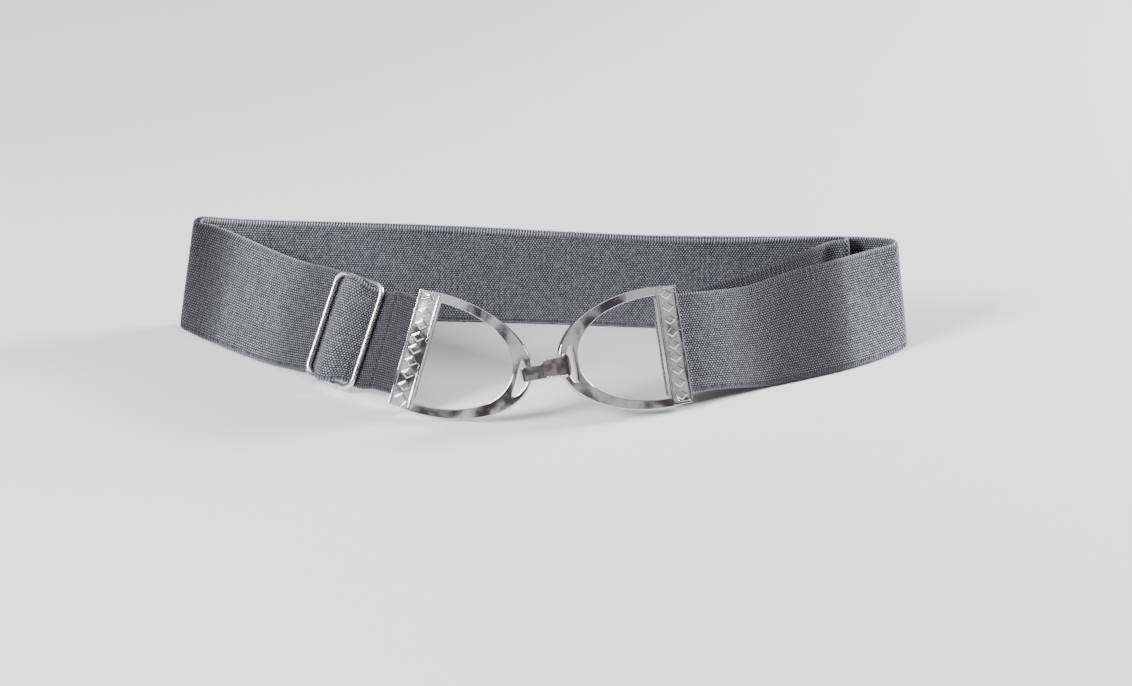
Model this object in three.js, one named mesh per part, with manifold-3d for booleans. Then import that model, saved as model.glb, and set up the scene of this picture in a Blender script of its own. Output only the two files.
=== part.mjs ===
// An adjustable elastic belt with a two-part stirrup clasp, closed and standing on its lower edge.
// Millimetres. +X along the belt's long side, +Y from the clasp to the back of the loop, +Z up.
import * as THREE from 'three';
import { mergeVertices } from 'three/addons/utils/BufferGeometryUtils.js';
import Module from 'manifold-3d';

const wasm = await Module();
wasm.setup();

// Driving dimensions
const WEB_THICKNESS = 1.6;
const LAYER_GAP = 0.4;
const FIT_GAP = 0.35;
const CLASP_WEB_WIDTH = 33.4;
const SECTION_STEP = 5;
const WRAP_STEPS = 6;
const SLIDER_WEB_WIDTH = 33.4;

const CASTING = {
  barLength: 39.2,
  barWidth: 7.5,
  length: 44.2,
  thickness: 2.6,
  archHalfHeight: 20.1,
  archStart: 9,
  openingHalfHeight: 17,
  openingTip: 37.6,
  openingPower: 2.15,
  chamfer: 0.35,
  panelMargin: 0.8,
  panelDepth: 0.35,
  lozenges: 9,
  lozengeHeight: 0.55,
  lozengeMargin: 0.5,
  lozengeShare: 0.42,
};
// Each half's crown slot: its middle on the casting's axes, size, bend towards the bar and pointedness
const SLOT_LEFT = { along: 41.2, up: 0.3, halfLength: 6.3, width: 3.8, bend: 0.045, power: 1.2 };
const SLOT_RIGHT = { along: 40.25, up: 0.9, halfLength: 6.3, width: 3.1, bend: 0.03, power: 0.9 };
const STRAP_PIN = { inset: 3.9, radius: 1.0 };
const LUG = { thickness: 2.2, width: 4.4, edge: 0.3, back: 0.2, seat: 0.6 };
const PIN_DROP = CASTING.thickness + FIT_GAP + WEB_THICKNESS + FIT_GAP + STRAP_PIN.radius;
const PIN_WRAP = STRAP_PIN.radius + FIT_GAP + WEB_THICKNESS / 2;

const SLIDER = { length: 23.4, height: 38, wire: 0.95, corner: 3.8, centreBar: 0.9 };
const SLIDER_WRAP = SLIDER.centreBar + FIT_GAP + WEB_THICKNESS / 2;
const BEHIND_WIRE = -(SLIDER.wire + FIT_GAP + WEB_THICKNESS / 2);

// The link's two ends in the crown slots, on the castings' axes, and its route from the back of the left
// crown over both to the back of the right one: distances along it and out of the crowns from its ends,
// with the lift of its front part's middle
const LINK = {
  thickness: 0.7, rise: 1.8, backGap: 0.5,
  leftAlong: 41, leftUp: 1.9, rightAlong: 41.1, rightUp: 1.1,
};
const LINK_LEFT = [
  { along: 3.2, out: 'back', width: 1.5 },
  { along: 0.5, out: 'back', width: 1.5 },
  { along: 0, out: 'inside', width: 1.5 },
  { along: 0, out: 0.35, width: 1.5 },
  { along: 0, out: 1.1, width: 3.2 },
];
const LINK_FRONT = [
  { share: 0, along: 0.05, out: -0.15, width: 4.4, lift: -0.3 },
  { share: 0, along: 0.7, out: 0, width: 4.6, lift: -0.4 },
  { share: 0.42, along: 0, out: 0, width: 4.6, lift: -0.45 },
  { share: 0.5, along: 0, out: 0, width: 6.3, lift: 0.35 },
  { share: 1, along: -0.7, out: 0, width: 7.4, lift: 0.2 },
  { share: 1, along: -0.05, out: -0.15, width: 7.2, lift: 0.2 },
];
const LINK_RIGHT = [
  { along: 0, out: 1.1, width: 4.6 },
  { along: 0, out: 0.35, width: 3 },
  { along: 0, out: 'inside', width: 3 },
  { along: -0.5, out: 'back', width: 3 },
  { along: -2.6, out: 'back', width: 3 },
];

// Where the hardware stands: a point, the turn in plan of the strap there and how far it leans inwards
const STATIONS = {
  leftBar: { x: -53.2, y: -56, z: 21.55, plan: 38, lean: 26.2 },
  rightBar: { x: 39.1, y: -51.4, z: 20.75, plan: -23.5, lean: 23 },
  slider: { x: -74, y: -33.6, z: 18.4, plan: 43, lean: 27.5 },
};
const LEFT_HALF_TURN = 23;
const RIGHT_HALF_TURN = -2.5;

// The strap's route from the slider round the back to the right clasp half: foot of each section,
// shift of its upper edge, lift of its lower edge and its width
const FRONT_LEFT = [
  { x: -100, y: -20.2, shiftX: 10.4, shiftY: 12.6, lift: 0, width: 36.9 },
  { x: -111.5, y: -10.5, shiftX: 9.4, shiftY: 13, lift: 0, width: 37.6 },
  { x: -121, y: -1, shiftX: 7.6, shiftY: 12.6, lift: 0, width: 38.5 },
  { x: -128.5, y: 6.8, shiftX: 6.2, shiftY: 11.2, lift: 0, width: 38.8 },
];
const LEFT_FOLD = {
  footX: -129.7, footY: 15.3, footRadius: 4.5, topX: -125.2, topY: 20.6, topRadius: 3.2,
  from: 214, to: 96, steps: 7, lift: 0, width: 38.6,
};
const BACK = [
  { x: -118, y: 20.9, shiftX: 1.5, shiftY: 1.8, lift: 0, width: 37.8 },
  { x: -92, y: 23.2, shiftX: 0.5, shiftY: -1.8, lift: 0, width: 37.3 },
  { x: -60, y: 23.6, shiftX: 0, shiftY: -4, lift: 0, width: 37.2 },
  { x: -30, y: 22.2, shiftX: 0, shiftY: -5.6, lift: 0, width: 37.2 },
  { x: 0, y: 19.6, shiftX: 0, shiftY: -7, lift: 0, width: 37.2 },
  { x: 30, y: 16.8, shiftX: 0, shiftY: -7.6, lift: 0, width: 37.2 },
  { x: 60, y: 14.4, shiftX: 0, shiftY: -7, lift: 0, width: 37.4 },
  { x: 88, y: 11.2, shiftX: 0, shiftY: -4.4, lift: 0, width: 37.3 },
  { x: 104, y: 7.6, shiftX: -1, shiftY: -1, lift: 0, width: 36.9 },
];
const RIGHT_FOLD = {
  footX: 112.4, footY: -2.2, footRadius: 4.6, topX: 109.8, topY: 2.6, topRadius: 3,
  from: 62, to: -46, steps: 6, lift: 0, width: 37.1,
};
const FRONT_RIGHT = [
  { x: 107, y: -14.6, shiftX: -3.4, shiftY: 12.8, lift: 0, width: 37.5 },
  { x: 95, y: -23.8, shiftX: -4.4, shiftY: 13.6, lift: 0, width: 37.4 },
  { x: 78.8, y: -33.4, shiftX: -5.4, shiftY: 13.2, lift: 0.2, width: 36.4 },
  { x: 66, y: -40.2, shiftX: -5.6, shiftY: 12, lift: 0.5, width: 34.3 },
];

// The second time round starts on the right clasp half and turns back short of the right-hand end
const INNER_RIGHT = [
  { x: 60.5, y: -36.6, shiftX: -2.6, shiftY: 11.9, lift: 1.2, width: 35.6 },
  { x: 72, y: -26.5, shiftX: -2.2, shiftY: 11, lift: 0.6, width: 36.6 },
  { x: 84.5, y: -14.6, shiftX: -2, shiftY: 9.4, lift: 0.3, width: 37.4 },
  { x: 93, y: -5.4, shiftX: -2, shiftY: 7.4, lift: 0.6, width: 37.2 },
];
const INNER_TURN = {
  footX: 95.6, footY: 0.6, footRadius: 2.8, topX: 94, topY: 2.6, topRadius: 2.1,
  from: -44, to: 86, steps: 6, lift: 1, width: 36.9,
};

const FABRIC = { color: 0x5d5b68, roughness: 0.9, metalness: 0 };
const POLISHED = { color: 0xc9c9cb, roughness: 0.12, metalness: 1 };

const radians = THREE.MathUtils.degToRad;
const vector = (x, y, z) => new THREE.Vector3(x, y, z);

// A strap's own axes where it stands: along it, up its width and out of its face
function standingFrame({ x, y, z, plan, lean }) {
  const p = radians(plan);
  const l = radians(lean);
  const along = vector(Math.cos(p), -Math.sin(p), 0);
  const up = vector(Math.sin(p) * Math.sin(l), Math.cos(p) * Math.sin(l), Math.cos(l));
  return { origin: vector(x, y, z), along, up, out: along.clone().cross(up) };
}

function turnedFrame(frame, degrees) {
  const turn = (v) => v.clone().applyAxisAngle(frame.up, radians(degrees));
  return { origin: frame.origin.clone(), along: turn(frame.along), up: frame.up.clone(), out: turn(frame.out) };
}

// The point of a frame at these distances along it, up it and out of it
function at(frame, along, up, out) {
  return frame.origin.clone()
    .addScaledVector(frame.along, along)
    .addScaledVector(frame.up, up)
    .addScaledVector(frame.out, out);
}

const leftStrap = standingFrame(STATIONS.leftBar);
const rightStrap = standingFrame(STATIONS.rightBar);
const sliderFrame = standingFrame(STATIONS.slider);
const leftHalf = turnedFrame(leftStrap, LEFT_HALF_TURN);
const rightFacing = turnedFrame(rightStrap, RIGHT_HALF_TURN);
const rightHalf = {
  origin: rightFacing.origin,
  along: rightFacing.along.clone().negate(),
  up: rightFacing.up.clone().negate(),
  out: rightFacing.out,
};
const leftPin = { ...leftStrap, origin: at(leftHalf, STRAP_PIN.inset, 0, -PIN_DROP) };
const rightPin = { ...rightStrap, origin: at(rightHalf, STRAP_PIN.inset, 0, -PIN_DROP) };

// A closed mesh through rings of points; an open run gets a cap at each end
function loft(rings, closed) {
  const count = rings[0].length;
  const positions = rings.flat().flatMap((p) => [p.x, p.y, p.z]);
  const index = [];
  const spans = closed ? rings.length : rings.length - 1;
  for (let r = 0; r < spans; r += 1) {
    const here = r * count;
    const next = ((r + 1) % rings.length) * count;
    for (let i = 0; i < count; i += 1) {
      const j = (i + 1) % count;
      index.push(here + i, here + j, next + j, here + i, next + j, next + i);
    }
  }
  if (!closed) {
    const last = (rings.length - 1) * count;
    for (let i = 1; i < count - 1; i += 1) {
      index.push(0, i + 1, i, last, last + i, last + i + 1);
    }
  }
  const geometry = new THREE.BufferGeometry();
  geometry.setAttribute('position', new THREE.Float32BufferAttribute(positions, 3));
  geometry.setIndex(index);
  return geometry;
}

// A section of the strap between its lower and upper edge
function standingRow({ x, y, shiftX, shiftY, lift, width }) {
  const rise = Math.sqrt(width * width - shiftX * shiftX - shiftY * shiftY);
  return { low: vector(x, y, lift), high: vector(x + shiftX, y + shiftY, lift + rise) };
}

function foldRows(fold) {
  const rows = [];
  for (let i = 0; i <= fold.steps; i += 1) {
    const turn = radians(THREE.MathUtils.lerp(fold.from, fold.to, i / fold.steps));
    const x = fold.footX + fold.footRadius * Math.cos(turn);
    const y = fold.footY + fold.footRadius * Math.sin(turn);
    const shiftX = fold.topX + fold.topRadius * Math.cos(turn) - x;
    const shiftY = fold.topY + fold.topRadius * Math.sin(turn) - y;
    rows.push(standingRow({ x, y, shiftX, shiftY, lift: fold.lift, width: fold.width }));
  }
  return rows;
}

// A section in a piece of hardware's own frame, at a distance along it, out of it and up it
function localRow(frame, along, out, width, rise = 0) {
  return { low: at(frame, along, rise - width / 2, out), high: at(frame, along, rise + width / 2, out) };
}

function localRows(frame, table) {
  return table.map(({ along, out, width, rise }) => localRow(frame, along, out, width, rise));
}

function wrapRows(frame, radius, from, to, width) {
  const rows = [];
  for (let i = 0; i <= WRAP_STEPS; i += 1) {
    const turn = radians(THREE.MathUtils.lerp(from, to, i / WRAP_STEPS));
    rows.push(localRow(frame, radius * Math.cos(turn), radius * Math.sin(turn), width));
  }
  return rows;
}

// Sections threaded through the rows on smooth rails, with each row's own place in the list
function thread(rows) {
  const lowRail = new THREE.CatmullRomCurve3(rows.map((row) => row.low), false, 'centripetal');
  const highRail = new THREE.CatmullRomCurve3(rows.map((row) => row.high), false, 'centripetal');
  const sections = [];
  const places = [];
  for (let i = 0; i < rows.length - 1; i += 1) {
    const reach = Math.max(
      rows[i].low.distanceTo(rows[i + 1].low),
      rows[i].high.distanceTo(rows[i + 1].high),
    );
    const steps = Math.ceil(reach / SECTION_STEP);
    places.push(sections.length);
    for (let k = 0; k < steps; k += 1) {
      const t = (i + k / steps) / (rows.length - 1);
      sections.push({ low: lowRail.getPoint(t), high: highRail.getPoint(t) });
    }
  }
  places.push(sections.length);
  sections.push(rows[rows.length - 1]);
  return { sections, places };
}

// The strap's outward face direction at one of its sections
function faceOut(sections, i) {
  const before = sections[Math.max(i - 1, 0)];
  const after = sections[Math.min(i + 1, sections.length - 1)];
  const travel = after.low.clone().add(after.high).sub(before.low).sub(before.high);
  const rise = sections[i].high.clone().sub(sections[i].low);
  return rise.cross(travel).normalize();
}

function movedRow({ low, high }, direction, distance) {
  return {
    low: low.clone().addScaledVector(direction, distance).setZ(low.z),
    high: high.clone().addScaledVector(direction, distance),
  };
}

// The first time round: sewn end, left strap pin, slider, left fold, back, right fold, right strap pin
const SEWN_END = [
  { along: -17.8, out: -2.1, width: CLASP_WEB_WIDTH },
  { along: -13, out: -1.1, width: CLASP_WEB_WIDTH },
  { along: -8.2, out: -0.55, width: CLASP_WEB_WIDTH },
  { along: -4.2, out: -1.5, width: CLASP_WEB_WIDTH },
];
const SEAM = [
  { along: -7, out: 1.65, width: CLASP_WEB_WIDTH },
  { along: -13, out: 1.15, width: 33.9 },
];
const SLIDER_PASS = [
  { along: 12.6, out: BEHIND_WIRE, width: 34 },
  { along: 10.4, out: BEHIND_WIRE, width: 33.8 },
  { along: 8.4, out: BEHIND_WIRE + 0.15, width: SLIDER_WEB_WIDTH },
  { along: 5.7, out: 0.8, width: SLIDER_WEB_WIDTH },
  { along: 4.3, out: 2.3, width: 34.8 },
  { along: 2.7, out: 3.6, width: 36.8 },
  { along: 0, out: 4.05, width: 37.6 },
  { along: -2.9, out: 3.2, width: 36.6 },
  { along: -4.3, out: 2.1, width: 34.8 },
  { along: -5.7, out: 0.8, width: SLIDER_WEB_WIDTH },
  { along: -8.4, out: BEHIND_WIRE + 0.15, width: 33.8 },
  { along: -10.4, out: BEHIND_WIRE, width: 35.2 },
  { along: -13.5, out: BEHIND_WIRE, width: 36.4 },
];
const RIGHT_PULL = [
  { along: 18, out: PIN_WRAP, width: 33.2, rise: -0.8 },
  { along: 8, out: PIN_WRAP, width: CLASP_WEB_WIDTH, rise: -0.2 },
];
const firstRound = [
  ...localRows(leftPin, SEWN_END),
  ...wrapRows(leftPin, PIN_WRAP, -90, 90, CLASP_WEB_WIDTH),
  ...localRows(leftPin, SEAM),
  ...localRows(sliderFrame, SLIDER_PASS),
];
const frontLeftStart = firstRound.length;
firstRound.push(...FRONT_LEFT.map(standingRow), ...foldRows(LEFT_FOLD), ...BACK.map(standingRow));
const backEnd = firstRound.length - 3;
firstRound.push(...foldRows(RIGHT_FOLD), ...FRONT_RIGHT.map(standingRow), ...localRows(rightPin, RIGHT_PULL));
const outer = thread(firstRound);

// The second time round lies inside the first, one thickness and a gap behind it
const RIGHT_RETURN = [{ along: 9, out: -1.9, width: CLASP_WEB_WIDTH }];
const secondRound = [
  ...wrapRows(rightPin, PIN_WRAP, 90, 270, CLASP_WEB_WIDTH),
  ...localRows(rightPin, RIGHT_RETURN),
  ...INNER_RIGHT.map(standingRow),
  ...foldRows(INNER_TURN),
];
for (let i = backEnd; i >= frontLeftStart; i -= 1) {
  const out = faceOut(outer.sections, outer.places[i]);
  secondRound.push(movedRow(firstRound[i], out, -(WEB_THICKNESS + LAYER_GAP)));
}
const SLIDER_END = [
  { along: -13.5, out: -4.15, width: 36 },
  { along: -9.6, out: -4.1, width: 33.8 },
  { along: -6.4, out: -2.7, width: SLIDER_WEB_WIDTH },
];
const SLIDER_TAIL = [
  { along: -3.4, out: -4.5, width: SLIDER_WEB_WIDTH },
  { along: -8.4, out: -6.1, width: 34 },
  { along: -13, out: -6.3, width: 34 },
  { along: -17, out: -6.3, width: 34 },
];
secondRound.push(
  ...localRows(sliderFrame, SLIDER_END),
  ...wrapRows(sliderFrame, SLIDER_WRAP, 196, -62, SLIDER_WEB_WIDTH),
  ...localRows(sliderFrame, SLIDER_TAIL),
);
const webbing = thread([...firstRound, ...secondRound]).sections;

// One wall of webbing through all its sections, with its lower edge cut level
function webbingGeometry(sections) {
  const rings = sections.map(({ low, high }, i) => {
    const half = faceOut(sections, i).multiplyScalar(WEB_THICKNESS / 2);
    return [
      low.clone().sub(half).setZ(low.z),
      low.clone().add(half).setZ(low.z),
      high.clone().add(half),
      high.clone().sub(half),
    ];
  });
  return loft(rings, false);
}

// The castings: a D with a straight panelled bar, drawn from the bar's outer edge towards the crown
function castingOuterHeight(u) {
  const { barLength, archHalfHeight, archStart, length } = CASTING;
  if (u <= archStart) {
    const rest = 1 - u / archStart;
    return archHalfHeight - (archHalfHeight - barLength / 2) * rest * rest;
  }
  const share = (u - archStart) / (length - archStart);
  return archHalfHeight * Math.sqrt(Math.max(0, 1 - share * share));
}

function castingShape(slot) {
  const { barLength, barWidth, length, archStart, archHalfHeight } = CASTING;
  const shape = new THREE.Shape();
  shape.moveTo(0, -barLength / 2);
  [0.25, 0.5, 0.75, 1].forEach((share) => {
    shape.lineTo(archStart * share, -castingOuterHeight(archStart * share));
  });
  const tipSteps = 28;
  for (let i = 1; i <= tipSteps; i += 1) {
    const turn = -Math.PI / 2 + (Math.PI * i) / tipSteps;
    shape.lineTo(archStart + (length - archStart) * Math.cos(turn), archHalfHeight * Math.sin(turn));
  }
  [0.75, 0.5, 0.25, 0].forEach((share) => {
    shape.lineTo(archStart * share, castingOuterHeight(archStart * share));
  });
  shape.closePath();
  shape.holes.push(openingPath(barWidth), slotPath(slot));
  return shape;
}

function openingPath(start) {
  const { archStart, openingTip, openingHalfHeight, openingPower } = CASTING;
  const path = new THREE.Path();
  const steps = 26;
  path.moveTo(start, openingHalfHeight);
  for (let i = 0; i <= steps; i += 1) {
    const turn = Math.PI / 2 - (Math.PI * i) / steps;
    const across = Math.max(0, Math.cos(turn)) ** (2 / openingPower);
    const up = Math.sign(Math.sin(turn)) * Math.abs(Math.sin(turn)) ** (2 / openingPower);
    path.lineTo(archStart + (openingTip - archStart) * across, openingHalfHeight * up);
  }
  path.lineTo(start, -openingHalfHeight);
  path.closePath();
  return path;
}

function slotPath({ along, up, halfLength, width, bend, power }) {
  const steps = 10;
  const path = new THREE.Path();
  for (let i = 0; i < 2 * steps; i += 1) {
    const turn = Math.PI / 2 - (Math.PI * i) / steps;
    const v = halfLength * Math.sin(turn);
    const half = (width / 2) * Math.sign(Math.cos(turn)) * Math.abs(Math.cos(turn)) ** power;
    const u = along - bend * v * v + half;
    if (i === 0) path.moveTo(u, up + v);
    else path.lineTo(u, up + v);
  }
  path.closePath();
  return path;
}

function toSolid(geometry) {
  const bare = geometry.clone();
  bare.deleteAttribute('normal');
  bare.deleteAttribute('uv');
  const merged = mergeVertices(bare, 1e-4);
  return new wasm.Manifold(new wasm.Mesh({
    numProp: 3,
    vertProperties: new Float32Array(merged.attributes.position.array),
    triVerts: new Uint32Array(merged.index.array),
  }));
}

function fromSolid(solid) {
  const mesh = solid.getMesh();
  const geometry = new THREE.BufferGeometry();
  geometry.setAttribute('position', new THREE.BufferAttribute(mesh.vertProperties, 3));
  geometry.setIndex(new THREE.BufferAttribute(mesh.triVerts, 1));
  return geometry;
}

function boxBetween(x0, x1, y0, y1, z0, z1) {
  const box = new THREE.BoxGeometry(x1 - x0, y1 - y0, z1 - z0);
  return box.translate((x0 + x1) / 2, (y0 + y1) / 2, (z0 + z1) / 2);
}

function castingGeometry(slot) {
  const {
    barLength, barWidth, thickness, chamfer, panelMargin, panelDepth,
    lozenges, lozengeHeight, lozengeMargin, lozengeShare,
  } = CASTING;
  const plate = new THREE.ExtrudeGeometry(castingShape(slot), {
    depth: thickness - 2 * chamfer,
    bevelEnabled: true,
    bevelThickness: chamfer,
    bevelSize: chamfer,
    bevelOffset: -chamfer,
    bevelSegments: 1,
  }).translate(0, 0, chamfer - thickness);
  let solid = toSolid(plate);

  const panelHalf = barLength / 2 - panelMargin;
  solid = solid.subtract(toSolid(
    boxBetween(panelMargin, barWidth - panelMargin, -panelHalf, panelHalf, -panelDepth, 1),
  ));
  const pitch = (2 * panelHalf) / lozenges;
  for (let i = 0; i < lozenges; i += 1) {
    const lozenge = new THREE.ConeGeometry(1, lozengeHeight, 4)
      .rotateX(Math.PI / 2)
      .scale(barWidth / 2 - panelMargin - lozengeMargin, pitch * lozengeShare, 1)
      .translate(barWidth / 2, -panelHalf + pitch * (i + 0.5), -lozengeHeight / 2);
    solid = solid.add(toSolid(lozenge));
  }

  const { inset, radius } = STRAP_PIN;
  const low = inset - LUG.width / 2;
  const high = inset + LUG.width / 2;
  const behind = -PIN_DROP - radius - LUG.back;
  const outerEnd = barLength / 2 - LUG.edge;
  const innerEnd = outerEnd - LUG.thickness;
  [[innerEnd, outerEnd], [-outerEnd, -innerEnd]].forEach(([from, to]) => {
    const lug = boxBetween(low, high, from, to, behind, LUG.seat - thickness);
    solid = solid.add(toSolid(lug));
  });
  const pin = new THREE.CylinderGeometry(radius, radius, innerEnd + outerEnd, 16)
    .translate(inset, 0, -PIN_DROP);
  return fromSolid(solid.add(toSolid(pin)));
}

// The slider: a round wire bent to a rounded rectangle with a straight bar soldered across it
function ringAround(centre, first, second, radius, sides) {
  return Array.from({ length: sides }, (_, i) => {
    const turn = (2 * Math.PI * i) / sides;
    return centre.clone()
      .addScaledVector(first, radius * Math.cos(turn))
      .addScaledVector(second, radius * Math.sin(turn));
  });
}

function sliderGeometry() {
  const { length, height, wire, corner, centreBar } = SLIDER;
  const reach = length / 2 - wire - corner;
  const rise = height / 2 - wire - corner;
  const up = vector(0, 0, 1);
  const rings = [];
  const cornerSteps = 6;
  [[1, 1, 0], [-1, 1, 90], [-1, -1, 180], [1, -1, 270]].forEach(([sideX, sideY, start]) => {
    for (let i = 0; i <= cornerSteps; i += 1) {
      const turn = radians(start + (90 * i) / cornerSteps);
      const side = vector(Math.cos(turn), Math.sin(turn), 0);
      const centre = vector(sideX * reach, sideY * rise, 0).addScaledVector(side, corner);
      rings.push(ringAround(centre, up, side, wire, 12));
    }
  });
  const frame = toSolid(loft(rings, true));
  const bar = new THREE.CylinderGeometry(centreBar, centreBar, height - 2 * wire, 12);
  return fromSolid(frame.add(toSolid(bar)));
}

// The link: one folded strip that reaches through both crown slots, narrow on the left and wide on the right
function linkRoute() {
  const { thickness, rise, backGap, leftAlong, leftUp, rightAlong, rightUp } = LINK;
  const left = at(leftHalf, leftAlong, leftUp, 0);
  const right = at(rightHalf, rightAlong, rightUp, 0);
  const across = right.clone().sub(left).normalize();
  const out = leftHalf.out.clone().add(rightHalf.out);
  out.addScaledVector(across, -out.dot(across)).normalize();
  const up = out.clone().cross(across);
  const back = -(CASTING.thickness + backGap + thickness / 2);
  const depths = { back, inside: back + backGap };
  const legRows = (end, facing, rows) => {
    const through = facing.clone().addScaledVector(up, -facing.dot(up)).normalize();
    return rows.map((row) => {
      const point = end.clone().addScaledVector(across, row.along);
      return { point: point.addScaledVector(through, depths[row.out] ?? row.out), width: row.width };
    });
  };
  const frontRows = LINK_FRONT.map((row) => {
    const point = left.clone().lerp(right, row.share).addScaledVector(across, row.along);
    point.addScaledVector(out, rise + row.out).addScaledVector(up, row.lift);
    return { point, width: row.width };
  });
  const route = [
    ...legRows(left, leftHalf.out, LINK_LEFT),
    ...frontRows,
    ...legRows(right, rightHalf.out, LINK_RIGHT),
  ];
  return { route, up };
}

function linkGeometry() {
  const { route, up } = linkRoute();
  const rings = route.map(({ point, width }, i) => {
    const before = route[Math.max(i - 1, 0)].point;
    const after = route[Math.min(i + 1, route.length - 1)].point;
    const side = after.clone().sub(before).normalize().cross(up).multiplyScalar(LINK.thickness / 2);
    const reach = up.clone().multiplyScalar(width / 2);
    return [
      point.clone().sub(reach).add(side),
      point.clone().sub(reach).sub(side),
      point.clone().add(reach).sub(side),
      point.clone().add(reach).add(side),
    ];
  });
  return loft(rings, false);
}

function placed(mesh, frame) {
  const matrix = new THREE.Matrix4().makeBasis(frame.along, frame.up, frame.out).setPosition(frame.origin);
  matrix.decompose(mesh.position, mesh.quaternion, mesh.scale);
  return mesh;
}

function part(name, geometry, look) {
  const mesh = new THREE.Mesh(geometry, new THREE.MeshStandardMaterial(look));
  mesh.name = name;
  return mesh;
}

const belt = new THREE.Group();
belt.add(
  part('webbing', webbingGeometry(webbing), FABRIC),
  placed(part('stirrup_left', castingGeometry(SLOT_LEFT), POLISHED), leftHalf),
  placed(part('stirrup_right', castingGeometry(SLOT_RIGHT), POLISHED), rightHalf),
  placed(part('slider', sliderGeometry(), POLISHED), sliderFrame),
  part('link_plate', linkGeometry(), POLISHED),
);

// The origin is the middle of the loop on the surface that it stands on
const box = new THREE.Box3().setFromObject(belt, true);
const centre = box.getCenter(vector(0, 0, 0));
belt.position.set(-centre.x, -centre.y, -box.min.z);

export default belt;
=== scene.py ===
"""An elastic webbing belt with a two-part stirrup clasp, made as an add-on's operators around its frame."""

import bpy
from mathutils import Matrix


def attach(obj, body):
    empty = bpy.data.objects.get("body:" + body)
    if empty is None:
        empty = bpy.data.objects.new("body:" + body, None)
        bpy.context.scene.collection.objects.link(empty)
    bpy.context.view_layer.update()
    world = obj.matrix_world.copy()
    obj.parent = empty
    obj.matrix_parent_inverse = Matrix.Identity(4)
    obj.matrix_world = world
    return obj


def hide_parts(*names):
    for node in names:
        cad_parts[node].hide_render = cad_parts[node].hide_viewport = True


bl_info = {
    "name": "Stirrup Clasp Belt",
    "version": (1, 0, 0),
    "blender": (4, 5, 0),
    "location": "View3D > Sidebar > Belt",
    "description": "Makes an elastic webbing belt, its clasp, slider, link and seams",
    "category": "Add Mesh",
}

import math

import bmesh
import bpy
from bpy.props import FloatProperty, FloatVectorProperty, IntProperty, PointerProperty
from bpy.types import Operator, Panel, PropertyGroup
from mathutils import Matrix, Vector, noise

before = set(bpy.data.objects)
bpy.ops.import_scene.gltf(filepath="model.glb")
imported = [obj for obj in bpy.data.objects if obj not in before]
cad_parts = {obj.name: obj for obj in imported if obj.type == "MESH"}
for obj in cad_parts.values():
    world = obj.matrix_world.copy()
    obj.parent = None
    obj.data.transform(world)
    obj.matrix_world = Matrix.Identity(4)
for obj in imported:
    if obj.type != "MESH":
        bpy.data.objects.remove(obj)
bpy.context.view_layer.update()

MM = 0.001
BODY = "root"

# The route's own zero lies at the camera's aim; the frame's zero is the middle of the belt's foot
ROUTE_SHIFT = Vector((8.623, 23.129, 0.092))

# Webbing, in millimetres
WEB_THICKNESS = 1.6
LAYER_GAP = 0.4
FIT_GAP = 0.35
CLASP_WEB_WIDTH = 33.4
SLIDER_WEB_WIDTH = 33.4
FULL_WEB_WIDTH = 37.2
WRAP_STEPS = 6
PICOT_PITCH = 0.97
SECTION_STEP = PICOT_PITCH / 4

# Castings, pins, slider and link, in millimetres
CASTING_THICKNESS = 2.6
PIN_INSET = 3.9
PIN_RADIUS = 1.0
PIN_DROP = CASTING_THICKNESS + FIT_GAP + WEB_THICKNESS + FIT_GAP + PIN_RADIUS
PIN_WRAP = PIN_RADIUS + FIT_GAP + WEB_THICKNESS / 2
WIRE_RADIUS = 0.95
CENTRE_BAR_RADIUS = 0.9
SLIDER_WRAP = CENTRE_BAR_RADIUS + FIT_GAP + WEB_THICKNESS / 2
BEHIND_WIRE = -(WIRE_RADIUS + FIT_GAP + WEB_THICKNESS / 2)

# Where the hardware stands: its point, the strap's turn in plan there and its lean inwards
STATIONS = {
    "left_bar": {"point": (-53.2, -56.0, 21.55), "plan": 38.0, "lean": 26.2},
    "right_bar": {"point": (39.1, -51.4, 20.75), "plan": -23.5, "lean": 23.0},
    "slider": {"point": (-74.0, -33.6, 18.4), "plan": 43.0, "lean": 27.5},
}
LEFT_HALF_TURN = 23.0
RIGHT_HALF_TURN = -2.5

# Foot of a section, shift of its upper edge, lift of its lower edge and its width
FRONT_LEFT = (
    (-100, -20.2, 10.4, 12.6, 0, 36.9),
    (-111.5, -10.5, 9.4, 13, 0, 37.6),
    (-121, -1, 7.6, 12.6, 0, 38.5),
    (-128.5, 6.8, 6.2, 11.2, 0, 38.8),
)
BACK = (
    (-118, 20.9, 1.5, 1.8, 0, 37.8),
    (-92, 23.2, 0.5, -1.8, 0, 37.3),
    (-60, 23.6, 0, -4, 0, 37.2),
    (-30, 22.2, 0, -5.6, 0, 37.2),
    (0, 19.6, 0, -7, 0, 37.2),
    (30, 16.8, 0, -7.6, 0, 37.2),
    (60, 14.4, 0, -7, 0, 37.4),
    (88, 11.2, 0, -4.4, 0, 37.3),
    (104, 7.6, -1, -1, 0, 36.9),
)
FRONT_RIGHT = (
    (107, -14.6, -3.4, 12.8, 0, 37.5),
    (95, -23.8, -4.4, 13.6, 0, 37.4),
    (78.8, -33.4, -5.4, 13.2, 0.2, 36.4),
    (66, -40.2, -5.6, 12, 0.5, 34.3),
)
INNER_RIGHT = (
    (60.5, -36.6, -2.6, 11.9, 1.2, 35.6),
    (72, -26.5, -2.2, 11, 0.6, 36.6),
    (84.5, -14.6, -2, 9.4, 0.3, 37.4),
    (93, -5.4, -2, 7.4, 0.6, 37.2),
)
LEFT_FOLD = {"foot": (-129.7, 15.3), "foot_radius": 4.5, "top": (-125.2, 20.6), "top_radius": 3.2,
             "from": 214, "to": 96, "steps": 7, "lift": 0, "width": 38.6}
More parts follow.
